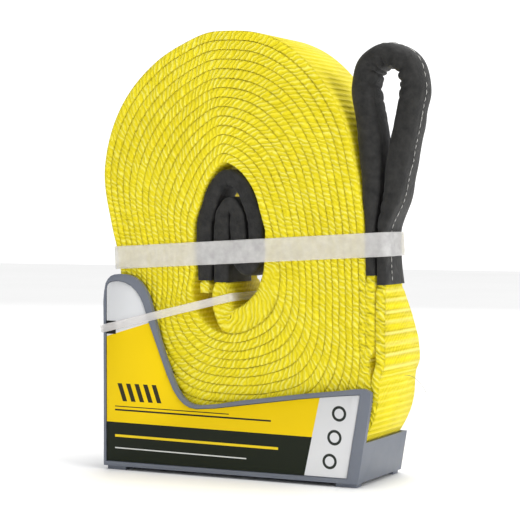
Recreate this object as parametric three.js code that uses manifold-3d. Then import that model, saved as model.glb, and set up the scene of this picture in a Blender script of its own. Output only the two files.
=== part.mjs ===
import * as THREE from "three";
import { mergeVertices } from "three/addons/utils/BufferGeometryUtils.js";
import Module from "manifold-3d";

// A tow strap wound into an upright roll, a sleeved eye at each end, tied down in its display tray.
// Millimetres, +X to the right, +Y away from the viewer, +Z up. Sizes are set out from the middle
// of the roll's width; at the end the origin is brought under the middle of the whole object.

// Webbing: where turns are pressed together it is thinner than when it lies loose
const webbingWidth = 50.8;
const webbingThickness = 3.9;
const turns = 15;
const layerGap = 0.32;

// The roll in polar form about its own axis, seen from the front: direction in degrees, radius of
// the first turn's inner face, and how far each turn lies outside the one before
const rollAxisX = -17;
const rollAxisZ = 118;
const rollShape = [
  [230, 30.5, 4.67],
  [250, 37, 4.8],
  [270, 39.5, 4.39],
  [288, 37.2, 4.88],
  [302, 34.2, 5.45],
  [312, 31.8, 5.25],
  [321, 29.2, 4.75],
  [331, 26.8, 4.12],
  [350, 22.5, 3.72],
  [370, 20, 3.8],
  [390, 20.1, 4.14],
  [410, 23.14, 4.8],
  [430, 30.92, 5.14],
  [441, 35.92, 5.09],
  [451, 40, 4.87],
  [457, 40.67, 4.84],
  [465, 37.09, 4.92],
  [474, 32.28, 5.06],
  [490, 25.18, 5.05],
  [510, 21.66, 4.43],
  [530, 19.43, 3.6],
  [550, 19.37, 3.2],
  [570, 20.95, 3.76],
];
const windingStartDirection = 230;
const firstDirection = 268;
const lastDirection = 316;
const tailEndDirection = 236;
const stepsPerTurn = 26;

// The inner end is folded over and sewn double, so the first turn starts thick and narrow:
// direction, extra thickness on the inside, width
const foldedStart = [
  [268, 8.6, 24],
  [300, 8.4, 26],
  [320, 7.2, 32],
  [340, 5.4, 40],
  [362, 2.6, webbingWidth],
  [384, 0, webbingWidth],
];
const foldedLegThickness = 5.2;

// Eyes: webbing folded lengthwise inside a sleeve
const eyeWebbingWidth = 12.4;
const eyeWebbingThickness = 2.7;
const sleeveWall = 0.95;

// Sleeve of the outer eye, from its inner mouth over the top to its outer mouth:
// x, z, half thickness, half depth, and how far its middle lies behind the roll's front
const outerSleevePath = [
  [60.2, 105, 2.75, 13, 13.2],
  [59.95, 114, 2.68, 11.6, 12.2],
  [59.7, 129, 2.8, 11.2, 12],
  [59.5, 142, 4.7, 10.8, 12],
  [58.7, 163, 6.4, 10, 12],
  [56.3, 182, 6.4, 9.4, 12],
  [53.9, 198.5, 6.4, 9.2, 12],
  [57.2, 209.3, 6.4, 9.2, 12],
  [66.5, 213.5, 6.4, 9.2, 12],
  [75.8, 209.4, 6.4, 9.2, 12],
  [79.5, 198.5, 6.4, 9.2, 12],
  [76.7, 181, 6.4, 9.4, 12],
  [73.1, 163, 6.4, 10, 12],
  [69.8, 142, 4.9, 10.8, 12],
  [65.9, 129, 2.8, 11.2, 12],
  [65.7, 114, 2.68, 11.6, 12.2],
  [66.1, 100.5, 2.8, 13.2, 13.4],
];

// Sleeve of the inner eye, folded over inside the roll: same columns
const innerSleevePath = [
  [-32.9, 101, 4.2, 9.8, 10.8],
  [-32.9, 112, 4.4, 9.6, 10.6],
  [-33.4, 123, 4.6, 9.6, 10.6],
  [-33.3, 131, 4.6, 9.6, 10.6],
  [-30.6, 139, 4.6, 9.6, 10.6],
  [-26.4, 149, 4.6, 9.6, 10.6],
  [-20.5, 154.3, 4.4, 9.6, 10.6],
  [-12.9, 151.1, 4.6, 9.6, 10.6],
  [-7, 141.3, 4.6, 9.6, 10.6],
  [-3.9, 131.5, 4.6, 9.6, 10.6],
  [-3.7, 123, 4.6, 9.6, 10.6],
  [-3.9, 115.2, 4.3, 9.6, 10.6],
  [-8.8, 110.2, 4.1, 9.6, 10.6],
  [-13.7, 115.2, 4.4, 9.6, 10.6],
  [-13.6, 123, 4.5, 9.6, 10.6],
  [-13.9, 130, 4.3, 9.6, 10.6],
  [-14.7, 136.3, 3.9, 9.6, 10.6],
  [-18.5, 141, 3.5, 9.6, 10.6],
  [-22.3, 136.3, 3.9, 9.6, 10.6],
  [-23.2, 130, 4.3, 9.6, 10.6],
  [-23.4, 122, 4.5, 9.6, 10.6],
  [-23.4, 112, 4.4, 9.6, 10.6],
  [-23.4, 101, 4.2, 9.8, 10.8],
];
const stubLength = 2.5;
const sleeveSteps = 2;
const sleeveCorner = 3;

// Tray
const trayLeft = -90.8;
const trayRight = 55.7;
const rightWallLean = 0.165;
const trayWall = 1.6;
const trayClearance = 1.2;
const skirtBottom = 2;
const footLength = 11;
const footDepth = 7;
const floorTop = 7.2;
const floorThickness = 1.8;
const sideWallTop = 22.5;
const leftWallTop = 88;
const rimProud = 1.2;
const labelThickness = 0.5;
const labelClearance = 0.3;

// Upper edges of the tray's front and of the label, from left to right
const frontEdge = [
  [-90.8, 89.7],
  [-89.4, 98.8],
  [-86.2, 102.6],
  [-81.5, 103.7],
  [-74.6, 103],
  [-68.5, 99.7],
  [-63.7, 93],
  [-61.2, 85.2],
  [-56.5, 69.6],
  [-50.6, 54.2],
  [-46.2, 44.6],
  [-40.5, 38.2],
  [-32.8, 36.6],
  [-9.6, 40.2],
  [24.1, 45.1],
  [46, 47.8],
  [59.4, 49.3],
  [62.6, 47.6],
];
const labelEdge = [
  [-89.1, 93],
  [-88.6, 97.6],
  [-85.7, 99.6],
  [-77.7, 99.2],
  [-71, 94.9],
  [-66.8, 88.2],
  [-64.3, 80.9],
  [-56.5, 61.8],
  [-48.8, 43.9],
  [-42.3, 36.6],
  [-35.2, 34.5],
  [-9.6, 37.8],
  [24.1, 42.6],
  [46, 45.2],
  [56.6, 46.2],
];
const labelBottom = 4.6;
const labelBottomRight = 49.6;

// Hold band round the roll and the outer eye, and the tie through the roll
const bandWidth = 12;
const bandThickness = 0.5;
const bandTilt = THREE.MathUtils.degToRad(3.1);
const bandHeight = 116.8;
const tieWidth = 4.2;
const tieThickness = 1;
const tieTilt = THREE.MathUtils.degToRad(13.6);
const tieThroughX = -16.6;
const tieBelowSleeve = 8.4;
const stripClearance = 0.35;
const cornerReach = 1;

const wasm = await Module();
wasm.setup();

const rollFront = -webbingWidth / 2;
const rollBack = webbingWidth / 2;
const trayFront = rollFront - trayClearance - trayWall;
const trayBack = rollBack + trayClearance + trayWall;

function solid(geometry) {
  const bare = geometry.clone();
  bare.deleteAttribute("normal");
  bare.deleteAttribute("uv");
  const merged = mergeVertices(bare, 1e-4);
  return new wasm.Manifold(
    new wasm.Mesh({
      numProp: 3,
      vertProperties: new Float32Array(merged.attributes.position.array),
      triVerts: new Uint32Array(merged.index.array),
    }),
  );
}

function geometryOf(body) {
  const mesh = body.getMesh();
  const geometry = new THREE.BufferGeometry();
  geometry.setAttribute("position", new THREE.BufferAttribute(new Float32Array(mesh.vertProperties), 3));
  geometry.setIndex(new THREE.BufferAttribute(new Uint32Array(mesh.triVerts), 1));
  return geometry;
}

// A flat outline in X and Z, given depth along Y
function plate(points, yFront, yBack) {
  const shape = new THREE.Shape(points.map(([x, z]) => new THREE.Vector2(x, z)));
  const geometry = new THREE.ExtrudeGeometry(shape, { depth: yBack - yFront, bevelEnabled: false });
  geometry.rotateX(Math.PI / 2);
  geometry.translate(0, yBack, 0);
  return geometry;
}

function block(x0, x1, y0, y1, z0, z1) {
  const geometry = new THREE.BoxGeometry(x1 - x0, y1 - y0, z1 - z0);
  geometry.translate((x0 + x1) / 2, (y0 + y1) / 2, (z0 + z1) / 2);
  return geometry;
}

// One closed body from rings of points that follow each other; a closed run joins its ends
function loft(rings, capped) {
  const size = rings[0].length;
  const positions = rings.flat(2);
  const index = [];
  for (let r = 0; r + 1 < rings.length; r += 1) {
    for (let i = 0; i < size; i += 1) {
      const a = r * size + i;
      const b = r * size + ((i + 1) % size);
      index.push(a, b, b + size, a, b + size, a + size);
    }
  }
  if (capped) {
    for (let i = 1; i + 1 < size; i += 1) {
      index.push(0, i + 1, i);
      const last = (rings.length - 1) * size;
      index.push(last, last + i, last + i + 1);
    }
  }
  const geometry = new THREE.BufferGeometry();
  geometry.setAttribute("position", new THREE.Float32BufferAttribute(positions, 3));
  geometry.setIndex(index);
  return geometry;
}

// Turns of the roll
const closedShape = [
  ...rollShape.slice(-2).map(([a, r, g]) => [a - 360, r, g]),
  ...rollShape,
  ...rollShape.slice(0, 3).map(([a, r, g]) => [a + 360, r, g]),
];

// Hermite value of one column at a direction
function shapeAt(direction, column) {
  const wrapped = ((((direction - windingStartDirection) % 360) + 360) % 360) + windingStartDirection;
  let i = 0;
  while (closedShape[i + 1][0] <= wrapped) i += 1;
  const [p0, p1, p2, p3] = [closedShape[i - 1], closedShape[i], closedShape[i + 1], closedShape[i + 2]];
  const span = p2[0] - p1[0];
  const s = (wrapped - p1[0]) / span;
  const m1 = ((p2[column] - p0[column]) / (p2[0] - p0[0])) * span;
  const m2 = ((p3[column] - p1[column]) / (p3[0] - p1[0])) * span;
  const s2 = s * s;
  const s3 = s2 * s;
  return (
    (2 * s3 - 3 * s2 + 1) * p1[column] +
    (s3 - 2 * s2 + s) * m1 +
    (3 * s2 - 2 * s3) * p2[column] +
    (s3 - s2) * m2
  );
}

function radiusAt(direction) {
  return shapeAt(direction, 1) + ((direction - windingStartDirection) / 360) * shapeAt(direction, 2);
}

function linear(table, at, column) {
  if (at <= table[0][0]) return table[0][column];
  for (let i = 0; i + 1 < table.length; i += 1) {
    if (at <= table[i + 1][0]) {
      const s = (at - table[i][0]) / (table[i + 1][0] - table[i][0]);
      return THREE.MathUtils.lerp(table[i][column], table[i + 1][column], s);
    }
  }
  return table[table.length - 1][column];
}

// One cross-section of the webbing in the roll: its middle, thickness and width
function windingStation(direction) {
  const angle = THREE.MathUtils.degToRad(direction);
  const radius = radiusAt(direction);
  const slope = (radiusAt(direction + 1) - radiusAt(direction - 1)) / THREE.MathUtils.degToRad(2);
  const lean = Math.atan2(slope, radius);
  const pitch = shapeAt(direction, 2) * Math.cos(lean);
  const thickness = Math.min(webbingThickness, pitch - layerGap);
  const extra = linear(foldedStart, direction, 1);
  const width = linear(foldedStart, direction, 2);
  const outward = angle - lean;
  const offset = (thickness - extra) / 2;
  return {
    x: rollAxisX + radius * Math.cos(angle) + offset * Math.cos(outward),
    z: rollAxisZ + radius * Math.sin(angle) + offset * Math.sin(outward),
    thickness: thickness + extra,
    yFront: rollFront,
    yBack: rollFront + width,
  };
}

function winding(from, to) {
  const steps = Math.max(1, Math.ceil((Math.abs(to - from) / 360) * stepsPerTurn));
  return Array.from({ length: steps + 1 }, (_, i) => windingStation(from + ((to - from) * i) / steps));
}

// Stations along an eye, closer together where it bends
function eyeStations(path) {
  const curve = new THREE.CatmullRomCurve3(
    path.map(([x, z]) => new THREE.Vector3(x, 0, z)),
    false,
    "centripetal",
  );
  const stations = [];
  for (let i = 0; i + 1 < path.length; i += 1) {
    const count = i + 2 === path.length ? sleeveSteps + 1 : sleeveSteps;
    for (let k = 0; k < count; k += 1) {
      const s = k / sleeveSteps;
      const p = curve.getPoint((i + s) / (path.length - 1));
      stations.push({
        x: p.x,
        z: p.z,
        halfThickness: THREE.MathUtils.lerp(path[i][2], path[i + 1][2], s),
        halfDepth: THREE.MathUtils.lerp(path[i][3], path[i + 1][3], s),
        yMiddle: rollFront + THREE.MathUtils.lerp(path[i][4], path[i + 1][4], s),
      });
    }
  }
  return stations;
}

// Unit normals of a run of stations, to the right of its travel seen from the front
function withNormals(stations) {
  return stations.map((station, i) => {
    const before = stations[Math.max(0, i - 1)];
    const after = stations[Math.min(stations.length - 1, i + 1)];
    const length = Math.hypot(after.x - before.x, after.z - before.z);
    return { ...station, nx: (after.z - before.z) / length, nz: -(after.x - before.x) / length };
  });
}

function ribbon(stations) {
  return loft(
    withNormals(stations).map((s) => {
      const half = s.thickness / 2;
      const out = [s.x + s.nx * half, s.z + s.nz * half];
      const inn = [s.x - s.nx * half, s.z - s.nz * half];
      return [
        [out[0], s.yFront, out[1]],
        [out[0], s.yBack, out[1]],
        [inn[0], s.yBack, inn[1]],
        [inn[0], s.yFront, inn[1]],
      ];
    }),
    true,
  );
}

// Rounded section of a sleeve, as offsets across it and along Y
function section(halfThickness, halfDepth) {
  const radius = Math.min(halfThickness, halfDepth) * 0.98;
  const points = [];
  for (let corner = 0; corner < 4; corner += 1) {
    const cx = (corner === 0 || corner === 3 ? 1 : -1) * (halfThickness - radius);
    const cy = (corner < 2 ? 1 : -1) * (halfDepth - radius);
    for (let k = 0; k < sleeveCorner; k += 1) {
      const a = (corner + k / (sleeveCorner - 1)) * (Math.PI / 2);
      points.push([cx + radius * Math.cos(a), cy + radius * Math.sin(a)]);
    }
  }
  return points;
}

function sleeve(stations) {
  const run = withNormals(stations);
  const ring = (s, inset) =>
    section(s.halfThickness - inset, s.halfDepth - inset).map(([across, along]) => [
      s.x + s.nx * across,
      s.yMiddle + along,
      s.z + s.nz * across,
    ]);
  const outside = run.map((s) => ring(s, 0));
  const inside = run.map((s) => ring(s, sleeveWall)).reverse();
  return loft([...outside, ...inside, outside[0]], false);
}

// Webbing inside and just outside a sleeve
function eyeWebbing(stations) {
  return stations.map((s) => ({
    x: s.x,
    z: s.z,
    thickness: eyeWebbingThickness,
    yFront: s.yMiddle - eyeWebbingWidth / 2,
    yBack: s.yMiddle + eyeWebbingWidth / 2,
  }));
}

function legStation(x, z, thickness, yFront, yBack) {
  return { x, z, thickness, yFront, yBack };
}

const outerEye = eyeStations(outerSleevePath);
const innerEye = eyeStations(innerSleevePath);
const innerMouth = outerEye[0];
const outerMouth = outerEye[outerEye.length - 1];
const lastWinding = lastDirection + (turns - 1) * 360;
const foot = windingStation(lastWinding);

const webbingStations = [
  legStation(innerEye[0].x, innerEye[0].z - stubLength, 5, rollFront + 1.5, rollFront + 20),
  legStation(innerEye[0].x, innerEye[0].z - 0.5, 5, rollFront + 1.5, rollFront + 20),
  ...eyeWebbing(innerEye),
  legStation(-23.4, 100.4, 7, rollFront + 1, rollFront + 22),
  legStation(-23.6, 96.5, 8.4, rollFront, rollFront + 24),
  legStation(-23.1, 90.8, 9.6, rollFront, rollFront + 24),
  legStation(-21.2, 84.6, 10.8, rollFront, rollFront + 24),
  ...winding(firstDirection, lastWinding),
  legStation(57.9, 63.2, 4.2, rollFront, rollBack - 1.5),
  legStation(60, 69.5, foldedLegThickness, rollFront, rollBack - 3),
  legStation(60.2, 79, foldedLegThickness, rollFront, rollBack - 8),
  legStation(60.2, 91, foldedLegThickness, rollFront, rollFront + 34),
  legStation(60.2, 101, foldedLegThickness, rollFront, rollFront + 25),
  legStation(60.2, 104.4, foldedLegThickness, rollFront + 0.6, rollFront + 22.6),
  ...eyeWebbing(outerEye),
  legStation(66.1, 99.9, foldedLegThickness, rollFront + 0.6, rollFront + 22.6),
  legStation(66, 95, foldedLegThickness, rollFront, rollFront + 27),
  legStation(65.8, 84, foldedLegThickness, rollFront, rollFront + 38),
  legStation(65.7, 72, foldedLegThickness, rollFront, rollBack - 4),
  legStation(65.6, 61, foldedLegThickness, rollFront, rollBack - 1.5),
  legStation(63.4, 54.5, 4.2, rollFront, rollBack),
  ...winding(lastWinding + 360, tailEndDirection + turns * 360),
];

// Tray
function smoothEdge(points, samples) {
  return new THREE.CatmullRomCurve3(
    points.map(([x, z]) => new THREE.Vector3(x, 0, z)),
    false,
    "centripetal",
  )
    .getPoints(samples)
    .map((p) => [p.x, p.z]);
}

const wallX = (z) => trayRight + (z - skirtBottom) * rightWallLean;
const frontOutline = [
  [trayLeft, skirtBottom],
  ...smoothEdge(frontEdge, 34),
  [wallX(43), 43],
  [trayRight, skirtBottom],
];
const labelOutline = [[-89.1, labelBottom], ...smoothEdge(labelEdge, 28), [labelBottomRight, labelBottom]];

function grown(points, by) {
  return points.map(([x, z], i) => {
    const [ax, az] = points[(i - 1 + points.length) % points.length];
    const [bx, bz] = points[(i + 1) % points.length];
    const before = [x - ax, z - az];
    const after = [bx - x, bz - z];
    const la = Math.hypot(...before);
    const lb = Math.hypot(...after);
    const n = [-(before[1] / la + after[1] / lb), before[0] / la + after[0] / lb];
    const ln = Math.hypot(...n);
    const mitre = Math.min(1.5, 2 / ln);
    return [x + (n[0] / ln) * by * mitre, z + (n[1] / ln) * by * mitre];
  });
}

function tray() {
  const rimFront = trayFront - rimProud;
  let body = solid(plate(frontOutline, rimFront, trayFront + trayWall));
  body = body.subtract(solid(plate(grown(labelOutline, labelClearance), rimFront - 1, trayFront)));
  const floorBottom = floorTop - floorThickness;
  const side = [
    [wallX(skirtBottom), skirtBottom],
    [wallX(sideWallTop), sideWallTop],
    [wallX(sideWallTop) - trayWall, sideWallTop],
    [wallX(skirtBottom) - trayWall, skirtBottom],
  ];
  body = body.add(solid(plate([...side].reverse(), trayFront, trayBack)));
  body = body.add(solid(block(trayLeft, trayLeft + trayWall, trayFront, trayBack, skirtBottom, leftWallTop)));
  const back = [
    [trayLeft, skirtBottom],
    [trayLeft, sideWallTop],
    [wallX(sideWallTop) - 0.2, sideWallTop],
    [wallX(skirtBottom) - 0.2, skirtBottom],
  ];
  body = body.add(solid(plate(back, trayBack - trayWall, trayBack)));
  const floor = [
    [trayLeft + 0.5, floorBottom],
    [trayLeft + 0.5, floorTop],
    [wallX(floorTop) - 0.5, floorTop],
    [wallX(floorBottom) - 0.5, floorBottom],
  ];
  body = body.add(solid(plate(floor, trayFront + 0.5, trayBack - 0.5)));
  for (const x of [trayLeft + 1.5, trayRight - 1.5 - footLength]) {
    for (const y of [trayFront + 0.6, trayBack - 0.6 - footDepth]) {
      body = body.add(solid(block(x, x + footLength, y, y + footDepth, 0, floorBottom + 0.4)));
    }
  }
  return geometryOf(body);
}

// A flat strip closed on itself round a plan outline, tilted about Y
function rounded(points, radius, steps) {
  const result = [];
  points.forEach((p, i) => {
    const a = points[(i - 1 + points.length) % points.length];
    const b = points[(i + 1) % points.length];
    const from = new THREE.Vector2(a[0] - p[0], a[1] - p[1]);
    const to = new THREE.Vector2(b[0] - p[0], b[1] - p[1]);
    const reach = Math.min(radius, from.length() / 2.2, to.length() / 2.2);
    from.setLength(reach);
    to.setLength(reach);
    for (let k = 0; k <= steps; k += 1) {
      const s = k / steps;
      const u = (1 - s) * (1 - s);
      const v = s * s;
      result.push([p[0] + from.x * u + to.x * v, p[1] + from.y * u + to.y * v]);
    }
  });
  return result;
}

function strip(plan, width, thickness, tilt, height) {
  const outside = plan;
  const inside = grown(plan, -thickness);
  const ring = (points, z) => points.map(([x, y]) => [x, y, z]);
  const rings = [ring(outside, -width / 2), ring(inside, -width / 2), ring(inside, width / 2), ring(outside, width / 2)];
  const geometry = loft([...rings, rings[0]], false);
  geometry.rotateY(-tilt);
  geometry.translate(0, 0, height);
  return geometry;
}

// Furthest reach of a run of stations inside a tilted strip's zone, along the strip
function reach(stations, tilt, height, halfWidth, pick) {
  const found = stations
    .map(([x, z]) => [x * Math.cos(tilt) + (z - height) * Math.sin(tilt), (z - height) * Math.cos(tilt) - x * Math.sin(tilt)])
    .filter(([, across]) => Math.abs(across) < halfWidth + 6)
    .map(([along]) => along);
  return pick(...found);
}

const turnPoints = withNormals(webbingStations).flatMap((s) => [
  [s.x + (s.nx * s.thickness) / 2, s.z + (s.nz * s.thickness) / 2],
]);
const sleevePoints = withNormals(outerEye).map((s) => [s.x + s.halfThickness, s.z]);
const bandLeft = reach(turnPoints, bandTilt, bandHeight, bandWidth / 2, Math.min) - stripClearance;
const bandRight = reach(sleevePoints, bandTilt, bandHeight, bandWidth / 2, Math.max) + stripClearance;
const rollRight = 58.2;
const bandPlan = grown(
  rounded(
    [
      [bandLeft, rollFront - stripClearance],
      [bandLeft, rollBack + stripClearance],
      [rollRight, rollBack + stripClearance],
      [bandRight, rollFront + 22.8],
      [bandRight, rollFront + 2],
      [bandRight - 2, rollFront - stripClearance],
    ],
    cornerReach,
    2,
  ),
  bandThickness,
);

const tieOutside = 1 / Math.cos(tieTilt);
const tieHeight = innerSleevePath[0][1] - tieBelowSleeve - tieThroughX * Math.tan(tieTilt);
const tieFront = trayFront - rimProud - stripClearance;
const tiePlan = grown(
  rounded(
    [
      [(trayLeft - 1.1) * tieOutside, tieFront],
      [(trayLeft - 1.1) * tieOutside, trayBack + stripClearance],
      [tieThroughX * tieOutside, rollBack + stripClearance],
      [tieThroughX * tieOutside, rollFront - stripClearance],
      [-58 * tieOutside, tieFront],
    ],
    cornerReach,
    2,
  ),
  tieThickness,
);

function piece(name, geometry, colour, roughness, opacity = 1) {
  const clean = geometry.index ? geometry : mergeVertices(geometry);
  const flat = clean.toNonIndexed();
  flat.computeVertexNormals();
  const material = new THREE.MeshStandardMaterial({
    color: colour,
    roughness,
    opacity,
    transparent: opacity < 1,
  });
  material.name = name;
  const mesh = new THREE.Mesh(flat, material);
  mesh.name = name;
  return mesh;
}

const strap = new THREE.Group();
strap.name = "tow_strap";
strap.add(
  piece("webbing", ribbon(webbingStations), 0xf2ac10, 0.8),
  piece("outer_eye_sleeve", sleeve(outerEye), 0x17181a, 0.75),
  piece("inner_eye_sleeve", sleeve(innerEye), 0x17181a, 0.75),
  piece("hold_band", strip(bandPlan, bandWidth, bandThickness, bandTilt, bandHeight), 0xe9e4d6, 0.3),
  piece("tie", strip(tiePlan, tieWidth, tieThickness, tieTilt, tieHeight), 0xdfe3e2, 0.35),
  piece("tray", tray(), 0x55585a, 0.45),
  piece("label_card", plate(grown(labelOutline, 0), trayFront - 0.3 - labelThickness, trayFront - 0.3), 0xf3b019, 0.4),
);

// Bring the origin under the middle of the whole
const extent = new THREE.Box3().setFromObject(strap);
strap.position.set(-(extent.min.x + extent.max.x) / 2, -(extent.min.y + extent.max.y) / 2, -extent.min.z);

export default strap;
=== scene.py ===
import bpy, math
import bmesh
import numpy as np
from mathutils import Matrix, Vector


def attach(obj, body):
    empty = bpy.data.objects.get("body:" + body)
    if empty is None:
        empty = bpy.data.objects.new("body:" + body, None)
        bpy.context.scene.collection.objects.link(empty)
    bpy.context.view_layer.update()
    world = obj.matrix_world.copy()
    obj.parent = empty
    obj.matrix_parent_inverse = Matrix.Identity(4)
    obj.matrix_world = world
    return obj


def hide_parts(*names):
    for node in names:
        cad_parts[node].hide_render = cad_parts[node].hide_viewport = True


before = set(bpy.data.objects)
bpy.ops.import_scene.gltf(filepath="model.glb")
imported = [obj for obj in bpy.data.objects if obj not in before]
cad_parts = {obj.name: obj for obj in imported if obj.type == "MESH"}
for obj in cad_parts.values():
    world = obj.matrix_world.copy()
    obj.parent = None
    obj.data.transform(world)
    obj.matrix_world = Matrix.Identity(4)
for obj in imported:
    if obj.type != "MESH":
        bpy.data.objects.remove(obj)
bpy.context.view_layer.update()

rng = np.random.default_rng(7)

# Outlines are in millimetres: x to the right, y to the back, z up, from the middle of the roll's width.
MM = 0.001
OFF = np.array([3.7335, 0.6154, 0.0])  # from there to the part's own origin
FRONT = -25.4                          # y of the roll's front face


def smooth(a, b, t):
    """0 before a, 1 past b, eased between them. Works either way round."""
    t = np.clip((np.asarray(t, float) - a) / (b - a), 0, 1)
    return t * t * (3 - 2 * t)


def hermite(s, a, slope_a, b, slope_b):
    """A cubic from a to b at share s, with its slopes per whole share."""
    return ((2 * s**3 - 3 * s**2 + 1) * a + (s**3 - 2 * s**2 + s) * slope_a
            + (3 * s**2 - 2 * s**3) * b + (s**3 - s**2) * slope_b)


class Shader:
    """One material's nodes. A value is a number, a colour or another node's output."""

    def __init__(self, name):
        self.material = bpy.data.materials.new(name)
        self.material.use_nodes = True
        self.tree = self.material.node_tree
        self.surface = self.tree.nodes["Principled BSDF"]

    def plug(self, value, socket):
        if isinstance(value, (int, float)):
            socket.default_value = value
        elif isinstance(value, tuple):
            socket.default_value = (*value, 1)
        else:
            self.tree.links.new(value, socket)

    def node(self, kind, values, output=0):
        """A node with values by the name or number of an input; returns one of its outputs."""
        n = self.tree.nodes.new(kind)
        for key, value in values.items():
            self.plug(value, n.inputs[key])
        return n.outputs[output]

    def maths(self, operation, *values):
        out = self.node("ShaderNodeMath", dict(enumerate(values)))
        out.node.operation = operation
        return out

    def plus(self, a, b):
        return self.maths("ADD", a, b)

    def minus(self, a, b):
        return self.maths("SUBTRACT", a, b)

    def times(self, first, *others):
        for other in others:
            first = self.maths("MULTIPLY", first, other)
        return first

    def line(self, a, slope, start):
        return self.maths("MULTIPLY_ADD", a, slope, start)

    def clamp(self, a):
        return self.maths("MINIMUM", self.maths("MAXIMUM", a, 0.0), 1.0)

    def wave(self, a, pitch, phase=0.0):
        return self.maths("SINE", self.line(a, 2 * math.pi / pitch, phase))

    def noise(self, scale, detail, roughness=0.5):
        place = self.node("ShaderNodeTexCoord", {}, "Object")
        return self.node("ShaderNodeTexNoise", {
            "Scale": scale, "Detail": detail, "Roughness": roughness, "Vector": place}, "Fac")

    def attribute(self, name):
        out = self.node("ShaderNodeAttribute", {}, "Fac")
        out.node.attribute_name = name
        return out

    def uv(self):
        place = self.node("ShaderNodeUVMap", {})
        place.node.uv_map = "uv"
        split = self.node("ShaderNodeSeparateXYZ", {0: place}).node
        return split.outputs[0], split.outputs[1]

    def ramp(self, a, low, high):
        """From one (place, colour) to the other."""
        out = self.node("ShaderNodeValToRGB", {0: a})
        for element, (place, colour) in zip(out.node.color_ramp.elements, (low, high)):
            element.position = place
            element.color = (*colour, 1)
        return out

    def mix(self, share, a, b):
        n = self.tree.nodes.new("ShaderNodeMix")
        n.data_type = "RGBA"
        for socket, value in ((0, share), (6, a), (7, b)):
            self.plug(value, n.inputs[socket])
        return n.outputs[2]

    def relief(self, *layers):
        """Bump layers (height, strength, distance in metres), the lowest first."""
        normal = None
        for height, strength, distance in layers:
            values = {"Strength": strength, "Distance": distance, "Height": height}
            if normal:
                values["Normal"] = normal
            normal = self.node("ShaderNodeBump", values)
        self.plug(normal, self.surface.inputs["Normal"])

    def done(self, colour, roughness, more=None):
        for key, value in {"Base Color": colour, "Roughness": roughness, **(more or {})}.items():
            self.plug(value, self.surface.inputs[key])
        return self.material


def grey(value):
    return (value,) * 3


# pitches of the strap's weave in metres, and how far its strands wander and lean
WEFT, WARP, STRAND, FIBRE, WEFT_RIB, BOLD_RIB = 0.0013, 0.0011, 0.0029, 0.00097, 0.0034, 0.0054
WANDER, STRAND_LEAN = 0.0062, 0.75


def webbing_material():
    s = Shader("webbing_yellow")
    u, v = s.uv()  # metres along the strap and across it
    edge = s.attribute("edge")  # 1 on the woven edges, 0.2 on the flat faces
    flat = s.minus(1.0, edge)

    # flat faces: weft lines across, warp yarns along
    weft = s.wave(u, WEFT)
    face = s.line(s.times(weft, s.wave(v, WARP)), 0.5, s.times(weft, 0.35))

    # woven edges: slanting strands that wander, with finer fibres in them
    wander = s.times(s.minus(s.noise(170, 3), 0.5), WANDER)
    slant = s.plus(s.line(v, STRAND_LEAN, u), wander)
    strand = s.wave(slant, STRAND)
    woven = s.line(s.wave(slant, FIBRE, 1.3), 0.2, strand)
    weave = s.plus(s.times(edge, woven), s.times(flat, s.times(face, 0.4)))
    weave = s.plus(weave, s.times(s.noise(900, 2), 0.3))

    # cross ribs of the flat faces, and bolder ones on the outermost layers at the right
    weft_rib = s.times(s.wave(s.line(wander, 0.2, u), WEFT_RIB), flat)
    bold_rib = s.times(s.wave(u, BOLD_RIB), s.attribute("rib"))
    ribs = s.plus(bold_rib, s.times(weft_rib, 0.5))
    s.relief((weave, 0.7, 0.0004), (ribs, 0.8, 0.0006))

    gap_shade_brown, knot_highlight_yellow, strand_valley_shade = (0.4, 0.3, 0.0), (1.0, 0.96, 0.22), (0.55, 0.43, 0.0)
    rib_valley_shade, rib_highlight_cream = (0.5, 0.42, 0.01), (0.97, 0.9, 0.42)
    colour = s.ramp(s.noise(55, 3), (0.3, (0.9, 0.745, 0.0)), (0.7, (0.98, 0.83, 0.008)))
    low = s.line(strand, -0.5, 0.5)
    high = s.maths("POWER", s.line(strand, 0.5, 0.5), 2.0)
    # painted shade in the gaps between wound layers: brown on the woven edges next to the layers' faces,
    # deepest in the strands' valleys, in patches
    patchy = s.ramp(s.noise(75, 2), (0.4, grey(0.1)), (0.66, grey(1.0)))
    gap_shade = s.times(s.attribute("gap_shade_mask"), s.times(s.plus(low, 0.1), patchy))
    colour = s.mix(gap_shade, colour, gap_shade_brown)
    # painted highlights: pale yellow on the crests of the woven edges' strands, stronger on some knots than
    # others
    light = s.times(edge, s.times(high, s.line(s.attribute("knot_highlight_share"), 0.6, 0.1)))
    colour = s.mix(light, colour, knot_highlight_yellow)
    # painted shade: ochre in the valleys between the woven edges' strands
    colour = s.mix(s.times(edge, s.times(low, 0.2)), colour, strand_valley_shade)
    # painted shade: olive in the valleys between the flat faces' cross ribs
    colour = s.mix(s.times(flat, s.line(weft_rib, -0.22, 0.22)), colour, rib_valley_shade)
    # painted highlight: cream on the crests of the flat faces' ribs
    rib_highlight = s.times(s.maths("MAXIMUM", ribs, 0.0), 0.4)
    colour = s.mix(s.times(rib_highlight, flat), colour, rib_highlight_cream)
    return s.done(colour, 0.62, {
        "Specular IOR Level": 0.25, "Sheen Weight": 0.05, "Sheen Roughness": 0.4})


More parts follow.
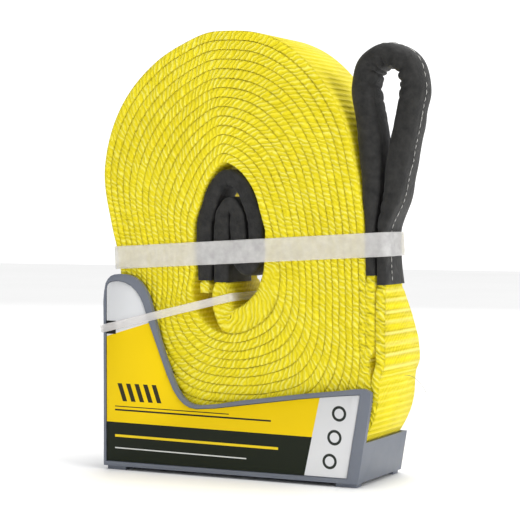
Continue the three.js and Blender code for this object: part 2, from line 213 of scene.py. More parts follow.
def sleeve_material():
    s = Shader("sleeve_black")
    u, v = s.uv()
    thread = 0.0009
    weave = s.times(s.wave(u, thread), s.wave(v, thread))
    fuzz = s.times(s.noise(700, 2), 0.8)
    s.relief((s.plus(weave, fuzz), 0.4, 0.0002), (s.noise(150, 4, 0.6), 0.6, 0.0016))
    dust = s.noise(230, 5, 0.65)
    colour = s.ramp(dust, (0.35, (0.005, 0.005, 0.0048)), (0.7, (0.026, 0.025, 0.023)))
    return s.done(colour, 0.6, {
        "Specular IOR Level": 0.35, "Sheen Weight": 0.08, "Sheen Roughness": 0.5})


def film_material(name, colour, alpha, roughness, scale):
    """Milky and see-through, denser in clouds."""
    s = Shader(name)
    s.relief((s.noise(scale, 4, 0.6), 0.35, 0.0006))
    cloud = s.noise(scale * 0.5, 4, 0.6)
    dim = tuple(x * 0.9 for x in colour)
    density = s.line(cloud, 0.25, alpha - 0.12)
    return s.done(s.ramp(cloud, (0.3, dim), (0.7, colour)), roughness, {"Alpha": density})


def tray_material():
    s = Shader("tray_grey")
    s.relief((s.noise(1500, 2, 0.6), 0.25, 0.00012))
    colour = s.ramp(s.noise(30, 4), (0.25, (0.125, 0.142, 0.18)), (0.8, (0.155, 0.172, 0.212)))
    return s.done(colour, s.ramp(s.noise(90, 3), (0.3, grey(0.38)), (0.75, grey(0.5))))


def plain_material(name, colour, roughness):
    s = Shader(name)
    dim = tuple(x * 0.85 for x in colour)
    return s.done(s.ramp(s.noise(400, 2), (0.3, dim), (0.7, colour)), roughness)


def floor_material():
    s = Shader("floor_pale")
    return s.done(s.ramp(s.noise(3, 3), (0.3, grey(0.93)), (0.7, grey(0.96))), 0.7)


# the card's print, in millimetres: fields are limited by lines given as slope and place at 0
YELLOW_TOP = (0.30, 97.4)
DARK_TOP = (-0.011, 24.4)
PANEL_LEFT = (0.217, 25.5)
BAR_SLOPE = -0.011
# z at x = 0, height, x from and to, colour
BARS = ((30.5, 0.9, -84, 8, (0.02, 0.02, 0.015)), (32.6, 0.5, -84, -16, (0.02, 0.02, 0.015)),
        (16.6, 1.3, -84, 12, (0.85, 0.62, 0.02)), (10.5, 0.6, -84, -6, (0.7, 0.72, 0.7)))
STRIPE_PITCH, STRIPE_LEAN, STRIPE_SHARE, STRIPE_SHARPNESS = 5.2, 0.35, 0.27, 60.0
STRIPE_FROM, STRIPE_TO, STRIPE_LOW, STRIPE_HIGH = -68.0, -42.0, 36.5, 46.0
BLOCK_RIGHT, BLOCK_LOW, BLOCK_HIGH = -83.3, 71.9, 79.0
RINGS, RING_RADIUS = ((45.5, 36.5), (43.0, 24.5), (40.4, 12.5)), 3.2


def label_material():
    """Plain fields with generic ornament: level bars, slanting stripes, a small block and three rings."""
    s = Shader("card_print")
    x, z = s.uv()
    sharpness = 12.0  # per millimetre, so that every limit is a tenth of a millimetre soft

    def past(a, limit):
        return s.clamp(s.times(s.minus(a, limit), sharpness))

    def below(slope, at):
        return s.clamp(s.line(s.minus(s.line(x, slope, at), z), sharpness, 0.5))

    def right_of(slope, at):
        return s.clamp(s.line(s.minus(x, s.line(z, slope, at)), sharpness, 0.5))

    colour = s.ramp(s.noise(12, 2), (0.2, (0.68, 0.69, 0.7)), (0.8, (0.73, 0.74, 0.76)))
    colour = s.mix(below(*YELLOW_TOP), colour, (0.86, 0.6, 0.002))
    colour = s.mix(below(*DARK_TOP), colour, (0.013, 0.017, 0.01))
    colour = s.mix(right_of(*PANEL_LEFT), colour, (0.68, 0.685, 0.7))

    for at, height, x0, x1, bar_colour in BARS:
        level = s.minus(below(BAR_SLOPE, at + height), below(BAR_SLOPE, at))
        colour = s.mix(s.times(level, s.times(past(x, x0), past(x1, x))), colour, bar_colour)

    skew = s.line(z, STRIPE_LEAN, x)
    share = s.maths("FRACT", s.times(skew, 1 / STRIPE_PITCH))
    off_centre = s.maths("ABSOLUTE", s.minus(share, 0.5))
    stripe = s.clamp(s.times(s.minus(STRIPE_SHARE, off_centre), STRIPE_SHARPNESS))
    stripe = s.times(stripe, past(skew, STRIPE_FROM), past(STRIPE_TO, skew),
                     past(z, STRIPE_LOW), past(STRIPE_HIGH, z))
    colour = s.mix(stripe, colour, (0.035, 0.03, 0.015))

    block = s.times(past(BLOCK_RIGHT, x), past(z, BLOCK_LOW), past(BLOCK_HIGH, z))
    colour = s.mix(block, colour, (0.02, 0.02, 0.02))

    for cx, cz in RINGS:
        dx, dz = s.minus(x, cx), s.minus(z, cz)
        distance = s.maths("SQRT", s.plus(s.times(dx, dx), s.times(dz, dz)))
        off_ring = s.maths("ABSOLUTE", s.minus(distance, RING_RADIUS))
        colour = s.mix(s.clamp(s.line(off_ring, -8.0, 6.0)), colour, (0.03, 0.035, 0.03))

    s.relief((s.noise(60, 3), 0.15, 0.0008))
    return s.done(colour, 0.5, {"Specular IOR Level": 0.12})


def edit(me, work):
    """Runs work on the mesh as a bmesh."""
    bm = bmesh.new()
    bm.from_mesh(me)
    work(bm)
    bm.to_mesh(me)
    bm.free()


def build(name, verts, faces, material, uvs=None, attributes=None):
    """A smooth mesh object of equal faces; uvs and attributes are per vertex."""
    me = bpy.data.meshes.new(name)
    v = np.asarray(verts, float)
    f = np.asarray(faces, np.int32)
    me.vertices.add(len(v))
    me.vertices.foreach_set("co", v.ravel())
    me.loops.add(f.size)
    me.loops.foreach_set("vertex_index", f.ravel())
    me.polygons.add(len(f))
    me.polygons.foreach_set("loop_start", np.arange(0, f.size, f.shape[1], dtype=np.int32))
    me.update(calc_edges=True)
    if uvs is not None:
        layer = me.uv_layers.new(name="uv")
        layer.data.foreach_set("uv", np.asarray(uvs, float)[f.ravel()].ravel())
    for key, values in (attributes or {}).items():
        me.attributes.new(key, "FLOAT", "POINT").data.foreach_set("value", values.ravel())
    me.polygons.foreach_set("use_smooth", np.full(len(f), True))
    me.validate()
    me.materials.append(material)
    o = bpy.data.objects.new(name, me)
    bpy.context.scene.collection.objects.link(o)
    return o


def loft_faces(rings, size, closed=False):
    """Quads between rings of equal size, one ring after another, and back to the first if closed."""
    r = np.arange(rings if closed else rings - 1)[:, None]
    i = np.arange(size)[None, :]
    here, there = r * size, ((r + 1) % rings) * size
    after = (i + 1) % size
    return np.stack([here + i, here + after, there + after, there + i], -1).reshape(-1, 4)


def close(o, caps=()):
    """Adds cap faces, given as vertex numbers, and turns all faces outwards."""
    def work(bm):
        bm.verts.ensure_lookup_table()
        for cap in caps:
            bm.faces.new([bm.verts[i] for i in cap])
        bmesh.ops.recalc_face_normals(bm, faces=bm.faces)

    edit(o.data, work)


def resample(rows, step):
    """Rows of x, z and other columns, at an even step along a smooth curve through the points.

    Returns the lengths along the curve, the points and each other column."""
    p = np.asarray(rows, float)
    s = np.r_[0, np.cumsum(np.hypot(*np.diff(p[:, :2], axis=0).T))]
    t = np.linspace(0, s[-1], max(2, int(round(s[-1] / step)) + 1))
    k = np.clip(np.searchsorted(s, t, side="right") - 1, 0, len(s) - 2)
    h = s[k + 1] - s[k]

    def spline(y):
        m = np.zeros_like(y)
        m[1:-1] = (y[2:] - y[:-2]) / (s[2:] - s[:-2])
        m[0] = (y[1] - y[0]) / (s[1] - s[0])
        m[-1] = (y[-1] - y[-2]) / (s[-1] - s[-2])
        return hermite((t - s[k]) / h, y[k], h * m[k], y[k + 1], h * m[k + 1])

    pos = np.stack([spline(p[:, 0]), spline(p[:, 1])], -1)
    return t, pos, [np.interp(t, s, column) for column in p[:, 2:].T]


def normals(pos):
    d = np.gradient(pos, axis=0)
    d /= np.hypot(d[:, 0], d[:, 1])[:, None]
    return np.stack([d[:, 1], -d[:, 0]], -1)


def circle(size):
    return np.arange(size) / size * 2 * np.pi


# The strap's course, seen from the front. The roll: direction from its axis in degrees, inner radius,
# growth per turn. A turn starts at the first direction.
AXIS = np.array([-17.0, 118.0])
SHAPE = np.array([
    [230, 30.5, 4.67], [250, 37, 4.8], [270, 39.5, 4.39], [288, 37.2, 4.88], [302, 34.2, 5.45],
    [312, 31.8, 5.25], [321, 29.2, 4.75], [331, 26.8, 4.12], [350, 22.5, 3.72], [370, 20, 3.8],
    [390, 20.1, 4.14], [410, 23.14, 4.8], [430, 30.92, 5.14], [441, 35.92, 5.09], [451, 40, 4.87],
    [457, 40.67, 4.84], [465, 37.09, 4.92], [474, 32.28, 5.06], [490, 25.18, 5.05], [510, 21.66, 4.43],
    [530, 19.43, 3.6], [550, 19.37, 3.2], [570, 20.95, 3.76]])
START = SHAPE[0, 0]
TURN = np.array([360, 0, 0])
CLOSED = np.vstack([SHAPE[-2:] - TURN, SHAPE, SHAPE[:3] + TURN])
FIRST, LAST, END = 268.0, 316.0 + 14 * 360, 236.0 + 15 * 360
WINDING_STEP = 1.5
PASS_GAP = 0.14  # air between one pass and the next
# the folded start of the roll: direction, extra thickness, width
FOLDED = np.array([[268, 8.6, 42], [300, 8.4, 43], [320, 7.2, 45], [340, 5.4, 48], [362, 2.6, 50.8],
                   [384, 0, 50.8]])

# the eyes' sleeves: x, z, half thickness, half depth, middle depth behind the front
OUTER_EYE = np.array([
    [60.2, 105, 2.75, 13, 13.2], [59.95, 114, 2.68, 11.6, 12.2], [59.7, 129, 2.8, 11.2, 12],
    [59.5, 142, 4.7, 10.8, 12], [58.7, 163, 6.4, 10, 12], [56.3, 182, 6.4, 9.4, 12],
    [53.9, 198.5, 6.4, 9.2, 12], [57.2, 209.3, 6.4, 9.2, 12], [66.5, 213.5, 6.4, 9.2, 12],
    [75.8, 209.4, 6.4, 9.2, 12], [79.5, 198.5, 6.4, 9.2, 12], [76.7, 181, 6.4, 9.4, 12],
    [73.1, 163, 6.4, 10, 12], [69.8, 142, 4.9, 10.8, 12], [65.9, 129, 2.8, 11.2, 12],
    [65.7, 114, 2.68, 11.6, 12.2], [66.1, 100.5, 2.8, 13.2, 13.4]])
INNER_EYE = np.array([
    [-32.9, 101, 4.2, 9.8, 10.8], [-33, 112, 4.7, 9.6, 10.6], [-33.4, 123, 4.8, 9.6, 10.6],
    [-33.3, 131, 4.6, 9.6, 10.6], [-30.6, 139, 4.6, 9.6, 10.6], [-26.4, 149, 4.6, 9.6, 10.6],
    [-20.5, 154.3, 4.4, 9.6, 10.6], [-12.9, 151.1, 4.6, 9.6, 10.6], [-7, 141.3, 4.6, 9.6, 10.6],
    [-3.9, 131.5, 4.6, 9.6, 10.6], [-3.7, 123, 4.6, 9.6, 10.6], [-3.8, 113.8, 4.5, 9.6, 10.6],
    [-8.8, 108, 4.4, 9.6, 10.6], [-13.8, 113.8, 4.6, 9.6, 10.6], [-13.7, 123, 4.8, 9.6, 10.6],
    [-14, 130, 4.8, 9.6, 10.6], [-14.7, 136.3, 3.9, 9.6, 10.6], [-18.5, 141, 3.5, 9.6, 10.6],
    [-22.3, 136.3, 3.9, 9.6, 10.6], [-23.1, 130, 4.7, 9.6, 10.6], [-23.3, 122, 4.8, 9.6, 10.6],
    [-23.3, 112, 4.8, 9.6, 10.6], [-23.4, 105, 4.6, 14, 15], [-23.4, 100.2, 4.5, 14.4, 15.4]])
CORE_THICK, CORE_HALF_WIDTH = 2.4, 6  # the webbing inside a sleeve, folded narrow

# the webbing outside the sleeves: x, z, thickness, its two edges' depths behind the front
INNER_TAIL = [[-32.9, 94.5, 5.6, 1.2, 40], [-32.9, 99.9, 5.4, 1.2, 40], [-32.9, 100.9, 3, 2, 19]]
INNER_LEG = [[-23.4, 104.4, 3, 2.6, 41], [-23.4, 101.2, 3.4, 2.6, 41], [-23.4, 100, 6.4, 0.9, 41],
             [-23.5, 95.5, 8.6, 0, 41], [-23.1, 90, 9.8, 0, 42], [-21.2, 84.6, 10.6, 0, 42]]
OUTER_LEG_UP = [[57.9, 63.2, 4.2, 0, 49.3], [60, 69.5, 5.2, 0, 47.8], [60.2, 79, 5.2, 0, 42.8],
                [60.2, 91, 5.2, 0, 34], [60.2, 100, 5.2, 0, 25.5], [60.2, 104.2, 4.4, 1, 22]]
OUTER_LEG_DOWN = [[66.1, 100.2, 4.6, 1, 22], [66, 97, 5.2, 0, 26], [65.8, 84, 5.2, 0, 38],
                  [65.7, 72, 5.2, 0, 46.8], [65.6, 61, 5.1, 0, 49.4], [63.4, 54.5, 4.2, 0, 50.8]]
CLOSEST = 0.35  # points of the course nearer to each other than this are one point


def shape_at(a, column):
    w = np.mod(a - START, 360) + START
    i = np.searchsorted(CLOSED[:, 0], w, side="right") - 1
    p0, p1, p2, p3 = CLOSED[i - 1], CLOSED[i], CLOSED[i + 1], CLOSED[i + 2]
    span = p2[..., 0] - p1[..., 0]
    slope1 = (p2[..., column] - p0[..., column]) / (p2[..., 0] - p0[..., 0]) * span
    slope2 = (p3[..., column] - p1[..., column]) / (p3[..., 0] - p1[..., 0]) * span
    return hermite((w - p1[..., 0]) / span, p1[..., column], slope1, p2[..., column], slope2)


def radius_at(a):
    return shape_at(a, 1) + (a - START) / 360 * shape_at(a, 2)


def winding(a0, a1):
    """Rows of the course from one direction to another, counted on over all turns."""
    a = np.linspace(a0, a1, max(2, int(abs(a1 - a0) / WINDING_STEP)))
    r = radius_at(a)
    lean = np.arctan2((radius_at(a + 1) - radius_at(a - 1)) / math.radians(2), r)
    thick = shape_at(a, 2) * np.cos(lean) - PASS_GAP
    extra, width = (np.interp(a, FOLDED[:, 0], FOLDED[:, column]) for column in (1, 2))
    rad = np.radians(a)
    off = (thick - extra) / 2
    x = AXIS[0] + r * np.cos(rad) + off * np.cos(rad - lean)
    z = AXIS[1] + r * np.sin(rad) + off * np.sin(rad - lean)
    return np.stack([x, z, thick + extra, np.full_like(x, FRONT), FRONT + width], -1)


def leg(rows):
    return np.array(rows, float) + [0, 0, 0, FRONT, FRONT]


def inside(path):
    """The webbing in a sleeve, without the sleeve's two ends."""
    y = FRONT + path[1:-1, 4]
    thick = np.full_like(y, CORE_THICK)
    return np.stack([*path[1:-1, :2].T, thick, y - CORE_HALF_WIDTH, y + CORE_HALF_WIDTH], -1)


def strap_course():
    rows = np.vstack([leg(INNER_TAIL), inside(INNER_EYE), leg(INNER_LEG), winding(FIRST, LAST),
                      leg(OUTER_LEG_UP), inside(OUTER_EYE), leg(OUTER_LEG_DOWN),
                      winding(LAST + 360, END)])
    return rows[np.r_[True, np.hypot(*np.diff(rows[:, :2], axis=0).T) > CLOSEST]]


# section of the strap: across (share of half thickness), in the back half, inset from the edge,
# edge mask, mask of the painted shade between layers
PROFILE = [(1, False, 0.55, 0.2, .25), (0.95, False, 0.3, 1, .5), (0.55, False, 0.0, 1, 0),
           (0, False, -0.06, 1, 0), (-0.55, False, 0.0, 1, 0), (-0.95, False, 0.3, 1, .5),
           (-1, False, 0.55, 0.2, .25), (-1, True, 0.8, 0.2, .3), (-0.95, True, 0.3, 1, .5),
           (-0.4, True, -0.05, 1, 0), (0.4, True, -0.05, 1, 0), (0.95, True, 0.3, 1, .5),
           (1, True, 0.8, 0.2, .3)]
WEBBING_STEP, KNOT_PITCH = 0.95, 2.75
DRIFT, DRIFT_PITCH = 0.25, 45.0  # how far the edges wander in and out, and over what length
KNOT_INSET, KNOT_NARROWING = 0.4, 0.05  # between two knots, against the knots themselves
FURROW = 1.1  # in the middle of the front edge, where two layers lie together
BOLD_FROM, BOLD_RIGHT_OF = 5000, 55  # bold ribs: length along the strap, and x


def webbing():
    t, pos, (thick, y0, y1) = resample(strap_course(), WEBBING_STEP)
    nor = normals(pos)
    n, size = len(t), len(PROFILE)

    # knots of the woven edge: uneven in size and spacing
    count = int(t[-1] / KNOT_PITCH) + 4
    grid = np.cumsum(rng.uniform(0.8, 1.2, count)) * KNOT_PITCH
    index = np.clip(np.searchsorted(grid, t), 1, count - 1)
    share = np.clip((t - grid[index - 1]) / (grid[index] - grid[index - 1]), 0, 1)
    knots = np.sin(np.pi * share) ** 0.8 * rng.uniform(0.35, 1.0, count)[index]
    # how strong each knot's painted highlight is, at random
    knot_highlight_share = rng.uniform(0, 1, count)[index]
    places = np.arange(0, t[-1] + 60, DRIFT_PITCH)
    swings = rng.uniform(-1, 1, int(t[-1] / DRIFT_PITCH) + 3)[:len(places)]
    drift = np.abs(DRIFT * np.interp(t, places, swings))

    # thick places left of the outer eye's legs are two layers
    doubled = smooth(4.6, 8, thick) * smooth(60, 50, pos[:, 0])
    V = np.zeros((n, size, 3))
    U = np.zeros((n, size, 2))
    for k, (a, back, inset, edge, _) in enumerate(PROFILE):
        on_edge = edge > 0.5
        between = 1 - knots if on_edge else 0
        across = a * thick / 2 * (1 - KNOT_NARROWING * between)
        inn = inset + KNOT_INSET * between + drift
        if a == 0:
            inn = inn + FURROW * doubled
        y = y1 - inn if back else y0 + inn
        V[:, k, 0] = pos[:, 0] + nor[:, 0] * across
        V[:, k, 1] = y
        V[:, k, 2] = pos[:, 1] + nor[:, 1] * across
        U[:, k, 0] = t
        U[:, k, 1] = across if on_edge else y

    rib = ((pos[:, 0] > BOLD_RIGHT_OF) & (t > BOLD_FROM)) * smooth(52, 60, pos[:, 1])
    masks = {"edge": np.tile([row[3] for row in PROFILE], (n, 1)),
             "gap_shade_mask": np.tile([row[4] for row in PROFILE], (n, 1)),
             "rib": np.repeat(rib, size), "knot_highlight_share": np.repeat(knot_highlight_share, size)}
    V = (V.reshape(-1, 3) + OFF) * MM
    o = build("strap_webbing", V, loft_faces(n, size), WEB, U.reshape(-1, 2) * MM, masks)
    close(o, [range(size)[::-1], range((n - 1) * size, n * size)])
    return o


SLEEVE_STEP, SLEEVE_SIZE = 1.0, 36
FLATNESS = 2.2  # how soon the section's flat sides give way to its round corners
WAVES, WRINKLE, MOST_OUT = 26, 3.2, 0.25
CREASE_PITCH = 6.3
MOUTH = 6  # length over which the wrinkles calm down
LIP, LIP_RINGS = 0.86, 4  # the mouth's inner side: share of the section, and how many rings deep
UV_RADIUS = 8


def sleeve(name, path, seed, corner, creases):
    """A soft tube along an eye. Returns the object, its outer rings and their lengths."""
    t, pos, (a, b, mid) = resample(path, SLEEVE_STEP)
    nor = normals(pos)
    n = len(t)
    q = circle(SLEEVE_SIZE)
    c, s = np.cos(q), np.sin(q)

    # section: a box with round corners
    r = np.minimum(a, b)[:, None] * corner
    across = (a[:, None] - r) * np.clip(c * FLATNESS, -1, 1) + r * c
    deep = (b[:, None] - r) * np.clip(s * FLATNESS, -1, 1) + r * s

    # wrinkles everywhere, deeper in the bends and shallower near the mouths
    g = np.random.default_rng(seed)
    w = np.zeros((n, SLEEVE_SIZE))
    for _ in range(WAVES):
        f = g.uniform(0.12, 0.55)
        k = g.integers(-2, 3)
        w += np.sin(t[:, None] * f + k * q[None, :] + g.uniform(0, 6.28)) * g.uniform(0.2, 1) / WAVES
    bend = np.abs(np.gradient(np.unwrap(np.arctan2(nor[:, 1], nor[:, 0])))) / SLEEVE_STEP
    fold = 0.35 + 5.0 * np.minimum(0.12, np.convolve(bend, np.ones(9) / 9, "same"))
    ends = np.minimum(smooth(0, MOUTH, t), smooth(0, MOUTH, t[-1] - t))
    w = np.minimum(w * WRINKLE * fold[:, None] * (0.25 + 0.75 * ends)[:, None], MOST_OUT)

    # gathers on the inside of the bends
    turn = np.minimum(1, np.convolve(bend, np.ones(11) / 11, "same") / 0.05)
    phase = t[:, None] * np.pi / CREASE_PITCH + 0.5 * np.sin(q * 2) + 0.7 * np.sin(t[:, None] * 0.23)
    groove = (1 - np.abs(np.sin(phase))) ** 2.2
    w -= creases * groove * turn[:, None] * np.clip(c + 0.35, 0, 1)
    across = across + w * c * 0.8
    deep = deep + w * s

    def rings(scale):
        x, z = (pos[:, i, None] + nor[:, i, None] * across * scale for i in (0, 1))
        return np.stack([x, FRONT + mid[:, None] + deep * scale, z], -1)

    out, lip = rings(1.0), rings(LIP)
    V = np.vstack([lip[:LIP_RINGS][::-1], out, lip[-LIP_RINGS:][::-1]])
    u = np.pad(t, LIP_RINGS, "edge")
    U = np.stack(np.broadcast_arrays(u[:, None], q * UV_RADIUS), -1)
    o = build(name, (V.reshape(-1, 3) + OFF) * MM, loft_faces(len(V), SLEEVE_SIZE), SLEEVE,
              U.reshape(-1, 2) * MM)
    close(o)
    return o, out, t


CORNER_CUT = 0.5


def corners(points):
    """An outline with each corner cut off."""
    out = []
    for i, p in enumerate(points):
        p = np.array(p, float)
        for q in (points[i - 1], points[(i + 1) % len(points)]):
            d = np.array(q, float) - p
            out.append(p + d / np.hypot(*d) * CORNER_CUT)
    return out


STRIP_STEP = 1.6


def strip(name, plan, width, thick, tilt, height, material, ridge=0.0):
    """A strap closed round a plan outline (x, y), tilted about Y, with a ridge near each edge."""
    p = np.asarray(plan, float)
    p = np.vstack([p, p[:1]])
    s = np.r_[0, np.cumsum(np.hypot(*np.diff(p, axis=0).T))]
    n = int(s[-1] / STRIP_STEP)
    t = np.linspace(0, s[-1], n, endpoint=False)
    x, y = np.interp(t, s, p[:, 0]), np.interp(t, s, p[:, 1])
    d = np.stack([np.roll(x, -1) - np.roll(x, 1), np.roll(y, -1) - np.roll(y, 1)], -1)
    d /= np.hypot(d[:, 0], d[:, 1])[:, None]
    nx, ny = -d[:, 1], d[:, 0]
    if np.sum(x * np.roll(y, -1) - y * np.roll(x, -1)) > 0:
        nx, ny = -nx, -ny
    # height (share of the width) and distance from the plan (share of the thickness)
    profile = np.array([(-0.5, 0), (-0.5, 1), (-0.42, 1 + ridge), (-0.3, 1), (0, 1), (0.3, 1),
                        (0.42, 1 + ridge), (0.5, 1), (0.5, 0), (0.3, 0), (0, 0), (-0.3, 0)])
    up, off = profile[:, 0] * width, profile[:, 1] * thick
    X = x[:, None] + nx[:, None] * off
    Y = y[:, None] + ny[:, None] * off
    c, sn = math.cos(tilt), math.sin(tilt)
    V = np.stack([X * c - up * sn, Y, X * sn + up * c + height], -1)
    o = build(name, (V.reshape(-1, 3) + OFF) * MM, loft_faces(n, len(profile), closed=True), material)
    close(o)
    return o


def from_node(node, name, material, bevel, segments):
    """A copy of a CAD node with its flat faces whole and its edges rounded."""
    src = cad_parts[node]
    me = src.data.copy()
    o = bpy.data.objects.new(name, me)
    bpy.context.scene.collection.objects.link(o)
    o.matrix_world = src.matrix_world.copy()
    me.materials.clear()
    me.materials.append(material)

    def work(bm):
        bmesh.ops.remove_doubles(bm, verts=bm.verts, dist=1e-6)
        bmesh.ops.dissolve_limit(bm, angle_limit=math.radians(1.5), verts=bm.verts, edges=bm.edges)

    edit(me, work)
    mod = o.modifiers.new("edges", "BEVEL")
    mod.width = bevel * MM
    mod.segments = segments
    mod.limit_method = "ANGLE"
    mod.angle_limit = math.radians(32)
    mod.harden_normals = True
    for p in me.polygons:
        p.use_smooth = True
    return o


TUBE_SIZE = 6


def tubes(name, runs, radius, material):
    """Thin round threads along runs of points, tapered at both ends."""
    V, F = [], []
    q = circle(TUBE_SIZE)[None, :, None]
    for run in runs:
        p = np.asarray(run, float)
        d = np.gradient(p, axis=0)
        d /= np.linalg.norm(d, axis=1)[:, None]
        away = np.array([0.0, 1.0, 0.0]) if abs(d[0][1]) < 0.9 else np.array([1.0, 0, 0])
        s1 = np.cross(d, away)
        s1 /= np.linalg.norm(s1, axis=1)[:, None]
        s2 = np.cross(d, s1)
        taper = np.ones(len(p))
        taper[0] = taper[-1] = 0.35
        rim = np.cos(q) * s1[:, None, :] + np.sin(q) * s2[:, None, :]
        F.append(loft_faces(len(p), TUBE_SIZE) + sum(len(x) for x in V))
        V.append((p[:, None, :] + radius * taper[:, None, None] * rim).reshape(-1, 3))
    o = build(name, (np.vstack(V) + OFF) * MM, np.vstack(F), material)

    def work(bm):
        bmesh.ops.holes_fill(bm, edges=[e for e in bm.edges if e.is_boundary], sides=0)
        bmesh.ops.recalc_face_normals(bm, faces=bm.faces)

    edit(o.data, work)
    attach(o, "root")
    return o


# the camera, fitted to the photograph
FOCAL_PIXELS, PICTURE_PIXELS, SENSOR = 1674.5, 520, 36
AZIMUTH, ELEVATION, DISTANCE = math.radians(26.5), math.radians(1.6), 0.85
AIM = (np.array([0.0, FRONT, 112.0]) + OFF) * MM


def camera():
    way = np.array([math.sin(AZIMUTH) * math.cos(ELEVATION), -math.cos(AZIMUTH) * math.cos(ELEVATION),
                    math.sin(ELEVATION)])
    cam = bpy.data.cameras.new("camera")
    cam.sensor_width = SENSOR
    cam.lens = FOCAL_PIXELS / PICTURE_PIXELS * SENSOR
    cam.clip_end = 50
    o = bpy.data.objects.new("camera", cam)
    o.location = AIM + way * DISTANCE
    o.rotation_euler = Vector(-way).to_track_quat("-Z", "Y").to_euler()
    bpy.context.scene.collection.objects.link(o)
    bpy.context.scene.camera = o


camera()
bpy.context.scene.view_settings.view_transform = "Standard"
WEB, SLEEVE = webbing_material(), sleeve_material()
BAND = film_material("band_film", (0.93, 0.915, 0.9), 0.42, 0.3, 420)
TIE = film_material("tie_nylon", (0.93, 0.9, 0.89), 0.44, 0.25, 90)
TRAY, CARD = tray_material(), label_material()

strap = webbing()
outer, skin, lengths = sleeve("outer_sleeve", OUTER_EYE, seed=3, corner=0.8, creases=2.0)
inner, _, _ = sleeve("inner_sleeve", INNER_EYE, seed=11, corner=0.55, creases=0.6)

BAND_TILT, BAND_WIDTH, BAND_THICK, BAND_HEIGHT = math.radians(3.1), 12, 0.35, 116.8
band_plan = corners([[-86.1, -25.72], [-86.1, 25.72], [58.2, 25.72], [69.7, -6.5], [69.7, -23.5],
                     [67.7, -25.72]])
band = strip("band", band_plan, BAND_WIDTH, BAND_THICK, BAND_TILT, BAND_HEIGHT, BAND)

TIE_TILT, TIE_WIDTH, TIE_THICK, TIE_HEIGHT, TIE_RIDGE = math.radians(13.6), 4.2, 0.85, 96.62, 0.35
longer = 1 / math.cos(TIE_TILT)  # the plan is drawn in the tilted plane
tie_plan = corners([[-91.9 * longer, -29.75], [-91.9 * longer, 28.55], [-16.6 * longer, 25.75],
                    [-16.6 * longer, -25.75], [-58 * longer, -29.75]])
tie = strip("tie_strip", tie_plan, TIE_WIDTH, TIE_THICK, TIE_TILT, TIE_HEIGHT, TIE, TIE_RIDGE)

tray = from_node("tray", "tray_shell", TRAY, bevel=0.55, segments=3)
card = from_node("label_card", "card", CARD, bevel=0.12, segments=1)
printed = card.data.uv_layers.get("uv") or card.data.uv_layers.new(name="uv")
for loop in card.data.loops:
    place = card.data.vertices[loop.vertex_index].co
    printed.data[loop.index].uv = (place.x / MM - OFF[0], place.z / MM)

for o, node, slot in ((strap, "webbing", "webbing"), (outer, "outer_eye_sleeve", "sleeve"),
                      (inner, "inner_eye_sleeve", "sleeve"), (band, "hold_band", "band"),
                      (tie, "tie", "tie"), (tray, "tray", "tray"), (card, "label_card", "card")):
    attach(o, "root")
    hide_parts(node)

# a line of white stitches down the outer side of the outer eye
STITCH_FROM, STITCH_LENGTH, STITCH_COLUMN, STITCH_RADIUS, STITCH_ARCH = 62.0, 2.4, 19, 0.22, 0.4
middle = skin.mean(axis=1)
runs = []
at = STITCH_FROM
while at < lengths[-1] - 1.5:
    run = []
    for along, lift in ((0, STITCH_RADIUS), (STITCH_LENGTH / 2, STITCH_ARCH), (STITCH_LENGTH, STITCH_RADIUS)):
        j = int(np.searchsorted(lengths, min(at + along, lengths[-1])))
        out = skin[j, STITCH_COLUMN] - middle[j]
        run.append(skin[j, STITCH_COLUMN] + out / np.linalg.norm(out) * lift)
    runs.append(run)
    at += rng.uniform(3.0, 3.7)
WHITE = plain_material("stitch_white", (0.6, 0.59, 0.56), 0.6)
stitches = tubes("outer_stitches", runs, STITCH_RADIUS, WHITE)

# a loose thread that hangs from the outer turn to the right
THREAD_RADIUS, THREAD_POINTS = 0.11, 24
q = np.linspace(0, 1, THREAD_POINTS)
hang = np.stack([63.5 + 19.5 * q - q**2, 10.0 - 12 * q, 53.0 + 1.2 * np.sin(q * 3.0) - 8.5 * q**2.2], -1)
THREAD = plain_material("thread_grey", (0.35, 0.34, 0.28), 0.7)
thread = tubes("loose_thread", [hang], THREAD_RADIUS, THREAD)


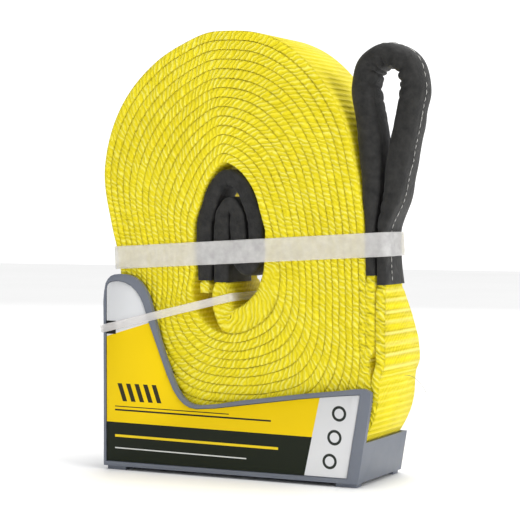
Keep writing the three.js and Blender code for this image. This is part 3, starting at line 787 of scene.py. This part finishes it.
def floor():
    size, half = 24, 3
    xs = np.linspace(-half, half, size)
    V = [(x, y, 0.0) for y in xs for x in xs]
    F = [(r * size + c, r * size + c + 1, (r + 1) * size + c + 1, (r + 1) * size + c)
         for r in range(size - 1) for c in range(size - 1)]
    o = build("floor", V, F, floor_material())


LIGHTS_AIM = Vector((0.0, 0.0, 0.11))


def light(name, where, size, watts):
    panel = bpy.data.lights.new(name, "AREA")
    panel.shape = "RECTANGLE"
    panel.size, panel.size_y = size
    panel.energy = watts
    o = bpy.data.objects.new(name, panel)
    o.location = where
    o.rotation_euler = (LIGHTS_AIM - Vector(where)).to_track_quat("-Z", "Y").to_euler()
    bpy.context.scene.collection.objects.link(o)


def sky():
    """A wide soft sun from above."""
    sun = bpy.data.lights.new("sky", "SUN")
    sun.energy = 2.3
    sun.angle = math.radians(30)
    o = bpy.data.objects.new("sky", sun)
    o.rotation_euler = (math.radians(-4), math.radians(4), 0)
    bpy.context.scene.collection.objects.link(o)


def studio(lit, seen):
    """A white world that lights the part softly and is seen as the photograph's bright backdrop."""
    world = bpy.data.worlds.new("studio")
    bpy.context.scene.world = world
    world.use_nodes = True
    tree = world.node_tree
    soft, bright = tree.nodes["Background"], tree.nodes.new("ShaderNodeBackground")
    for background, strength in ((soft, lit), (bright, seen)):
        background.inputs[0].default_value = (1, 1, 1, 1)
        background.inputs[1].default_value = strength
    pick = tree.nodes.new("ShaderNodeMixShader")
    ray = tree.nodes.new("ShaderNodeLightPath")
    tree.links.new(ray.outputs["Is Camera Ray"], pick.inputs[0])
    tree.links.new(soft.outputs[0], pick.inputs[1])
    tree.links.new(bright.outputs[0], pick.inputs[2])
    tree.links.new(pick.outputs[0], tree.nodes["World Output"].inputs[0])


floor()
light("key_right", (1.2, -0.3, 0.6), (0.7, 0.7), 9)
light("fill_front", (-0.4, -1.3, 0.45), (0.9, 0.9), 4)
light("back", (-0.3, 1.2, 0.7), (1.4, 1.0), 4)
sky()
studio(lit=0.3, seen=1.3)
